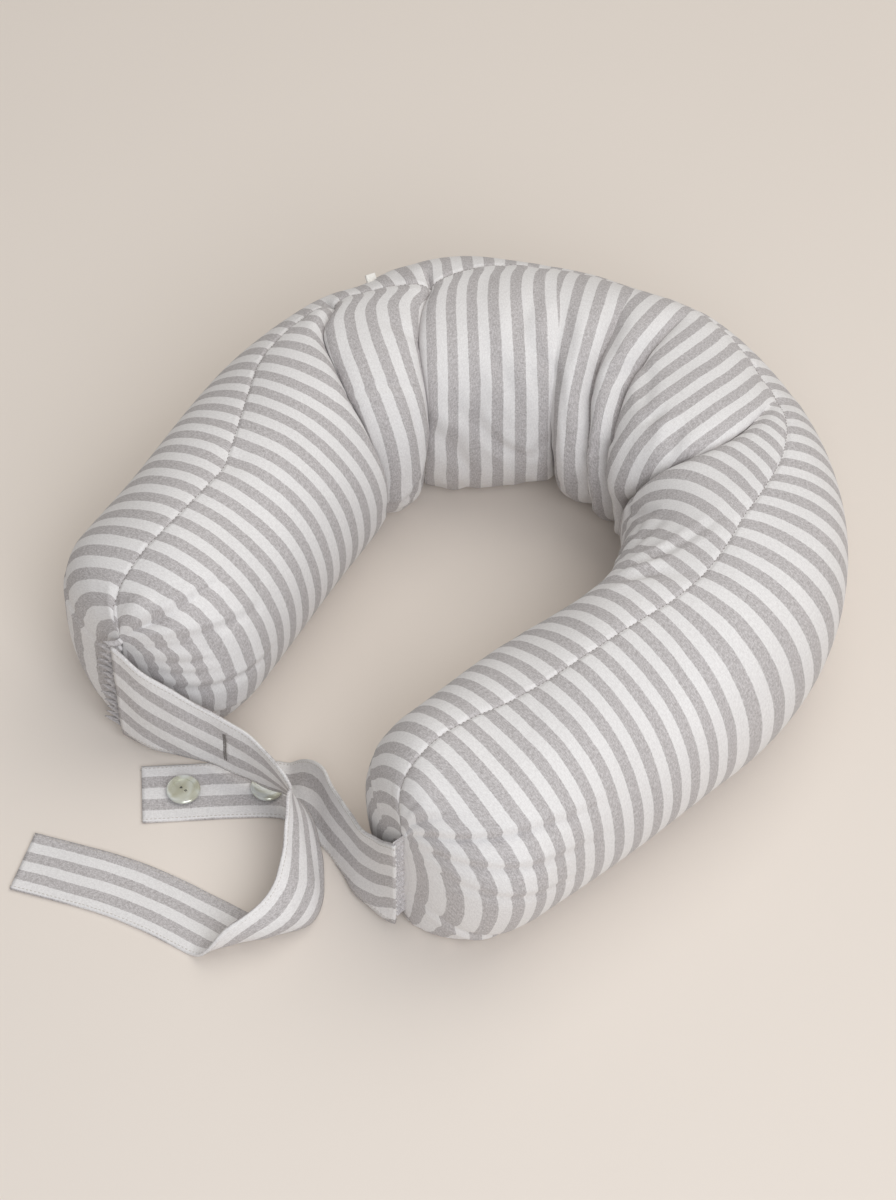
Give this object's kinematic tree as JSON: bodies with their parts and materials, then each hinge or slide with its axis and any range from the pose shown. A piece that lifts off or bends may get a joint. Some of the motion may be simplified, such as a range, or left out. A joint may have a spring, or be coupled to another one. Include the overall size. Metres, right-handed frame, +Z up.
{
  "type": "nursing pillow",
  "caption": "Horseshoe-shaped bead-filled nursing pillow with striped linen cover, gathered ends, a long buttonhole tie strap and a buttoned strap.",
  "frame": {"origin": "on the floor, under the middle of the overall bounding box of tube and straps", "axes": "+Z up from the floor, +Y towards the round back of the U, -Y towards its opening and the straps, X across the arms"},
  "size_m": [0.5198, 0.6875, 0.158],
  "materials": {
    "striped_linen": "plain-weave linen, grey and off-white stripes",
    "striped_linen_inner": "plain-weave linen, grey and off-white stripes",
    "casing_cotton": "undyed cotton",
    "beads": "fine foam beads",
    "sewing_thread": "spun thread",
    "pearl_shell": "polished mother-of-pearl",
    "cotton_tape": "white woven tape",
    "zip_plastic": "moulded coil",
    "zip_metal": "painted die casting"
  },
  "bodies": {
    "left_half": {"outer_cover_left": "striped_linen", "inner_cover_left": "striped_linen_inner", "casing_left": "casing_cotton", "bead_filling_left": "beads", "end_gather_left": "striped_linen", "seam_tab": "cotton_tape", "zip_tape": "cotton_tape", "zip_teeth": "zip_plastic", "zip_stops": "zip_metal"},
    "right_half": {"outer_cover_right": "striped_linen", "inner_cover_right": "striped_linen_inner", "casing_right": "casing_cotton", "bead_filling_right": "beads", "end_gather_right": "striped_linen"},
    "left_strap_base": {"left_strap": "striped_linen", "buttonhole_stitching": "sewing_thread"},
    "tie_end": {"left_strap_tie_end": "striped_linen"},
    "buttoned_strap": {"right_strap": "striped_linen", "button_thread_near_end": "sewing_thread", "button_thread_middle": "sewing_thread"},
    "near_end_button": {"shell_button_near_end": "pearl_shell"},
    "middle_button": {"shell_button_middle": "pearl_shell"},
    "slider": {"zip_slider": "zip_metal"},
    "pull": {"zip_pull": "zip_metal"}
  },
  "joints": [
    {"name": "back_flex", "type": "hinge", "parent": "left_half", "child": "right_half", "pos_m": [0, 0.34375, 0.079], "axis": [0, 0, 1], "range_deg": [0, 6]},
    {"name": "right_strap_swing", "type": "hinge", "parent": "right_half", "child": "buttoned_strap", "pos_m": [0.1325, -0.1945, 0.0595], "axis": [0, 0, 1], "range_deg": [-6, 0]},
    {"name": "left_strap_swing", "type": "hinge", "parent": "left_half", "child": "left_strap_base", "pos_m": [-0.1325, -0.1945, 0.0615], "axis": [0, 0, 1], "range_deg": [-35, 0]},
    {"name": "tie_end_lift", "type": "hinge", "parent": "left_strap_base", "child": "tie_end", "pos_m": [0.02, -0.17725, 0.062], "axis": [-0.866, -0.5, 0], "range_deg": [0, 60]},
    {"name": "near_end_button_tilt", "type": "hinge", "parent": "buttoned_strap", "child": "near_end_button", "pos_m": [-0.0652, -0.2023, 0.0048], "axis": [-0.7288, -0.6847, 0], "range_deg": [-5, 5]},
    {"name": "middle_button_tilt", "type": "hinge", "parent": "buttoned_strap", "child": "middle_button", "pos_m": [-0.0191, -0.1608, 0.0049], "axis": [-0.764, -0.6452, 0], "range_deg": [-5, 5]},
    {"name": "zip_slide", "type": "hinge", "parent": "left_half", "child": "slider", "pos_m": [0, 0.08375, 0.035], "axis": [0, 0, 1], "range_deg": [0, 60]},
    {"name": "zip_pull_flip", "type": "hinge", "parent": "slider", "child": "pull", "pos_m": [-0.06839, 0.32871, 0.03193], "axis": [0.1345, -0.4816, -0.866], "range_deg": [0, 150]}
  ],
  "couplings": [
    {"joint": "right_strap_swing", "follows": "back_flex", "ratio": -1}
  ]
}
